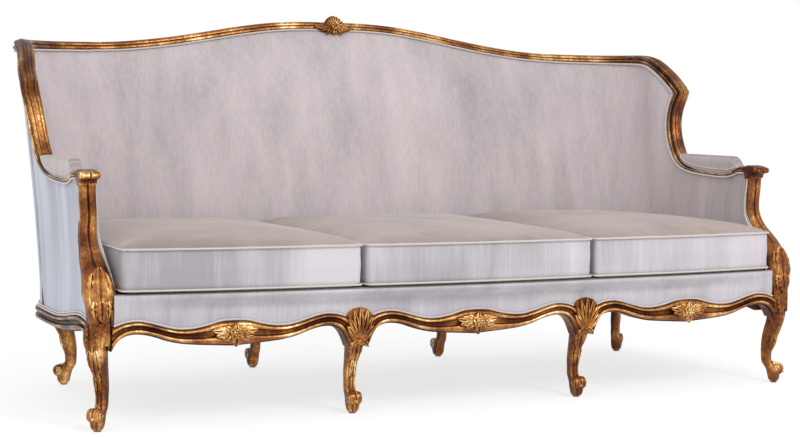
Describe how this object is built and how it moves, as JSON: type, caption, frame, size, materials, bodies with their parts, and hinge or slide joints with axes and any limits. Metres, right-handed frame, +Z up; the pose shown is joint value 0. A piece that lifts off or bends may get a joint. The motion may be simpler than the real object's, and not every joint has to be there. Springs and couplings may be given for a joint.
{
  "type": "cabriole sofa",
  "caption": "Three-seat sofa with a carved gilt show-wood frame, serpentine crest, curved wings, padded arms, cabriole legs and loose boxed velvet cushions.",
  "frame": {"origin": "middle of the bounding box's bottom face, on the floor", "axes": "+X to the right in a front view, +Y to the back, +Z up"},
  "size_m": [2.1166, 1.07, 1.0664],
  "materials": {
    "gilt_wood": "water-gilt over red bole, rubbed",
    "beech": "plain sawn",
    "back_velvet": "short pile, pale silver lilac",
    "cushion_velvet": "short pile, taupe silver",
    "outside_velvet": "short pile, bluish silver",
    "arm_velvet": "short pile",
    "piping": "plain cord",
    "filling": "foam in calico",
    "webbing": "jute",
    "hessian": "jute",
    "dust_cover": "black cloth",
    "glides": "worn"
  },
  "bodies": {
    "frame": {"arm_pad_left": "arm_velvet", "arm_pad_right": "arm_velvet", "arm_post_left": "gilt_wood", "arm_post_right": "gilt_wood", "arm_rail_left": "gilt_wood", "arm_rail_right": "gilt_wood", "back_brace": "beech", "crest_cartouche": "gilt_wood", "crest_corner_left": "gilt_wood", "crest_corner_right": "gilt_wood", "crest_rail": "gilt_wood", "deck_pad": "filling", "dust_cover": "dust_cover", "foot_glides": "glides", "front_border": "outside_velvet", "front_corner_leg_left": "gilt_wood", "front_corner_leg_right": "gilt_wood", "front_mid_leg_left": "gilt_wood", "front_mid_leg_right": "gilt_wood", "front_rail_center": "gilt_wood", "front_rail_left": "gilt_wood", "front_rail_right": "gilt_wood", "hessian": "hessian", "inside_arm_left": "back_velvet", "inside_arm_right": "back_velvet", "inside_back": "back_velvet", "inside_corner_left": "back_velvet", "inside_corner_right": "back_velvet", "outside_arm_left": "outside_velvet", "outside_arm_right": "outside_velvet", "outside_back": "outside_velvet", "outside_corner_left": "outside_velvet", "outside_corner_right": "outside_velvet", "rail_flowers": "gilt_wood", "rail_piping": "piping", "rear_corner_leg_left": "gilt_wood", "rear_corner_leg_right": "gilt_wood", "rear_mid_leg_left": "gilt_wood", "rear_mid_leg_right": "gilt_wood", "rear_rails": "gilt_wood", "seat_braces": "beech", "side_rail_left": "gilt_wood", "side_rail_right": "gilt_wood", "wall_piping": "piping", "webbing_cross": "webbing", "webbing_long": "webbing", "wing_rail_left": "gilt_wood", "wing_rail_right": "gilt_wood", "wing_stile_left": "beech", "wing_stile_right": "beech"},
    "cushion_left": {"cushion_left_cover": "cushion_velvet", "cushion_left_filling": "filling", "cushion_left_welts": "piping"},
    "cushion_center": {"cushion_center_cover": "cushion_velvet", "cushion_center_filling": "filling", "cushion_center_welts": "piping"},
    "cushion_right": {"cushion_right_cover": "cushion_velvet", "cushion_right_filling": "filling", "cushion_right_welts": "piping"}
  },
  "joints": [
    {"name": "cushion_left_lift", "type": "slide", "parent": "frame", "child": "cushion_left", "axis": [0, 0, 1], "range_m": [0, 0.25]},
    {"name": "cushion_center_lift", "type": "slide", "parent": "frame", "child": "cushion_center", "axis": [0, 0, 1], "range_m": [0, 0.25]},
    {"name": "cushion_right_lift", "type": "slide", "parent": "frame", "child": "cushion_right", "axis": [0, 0, 1], "range_m": [0, 0.25]}
  ]
}
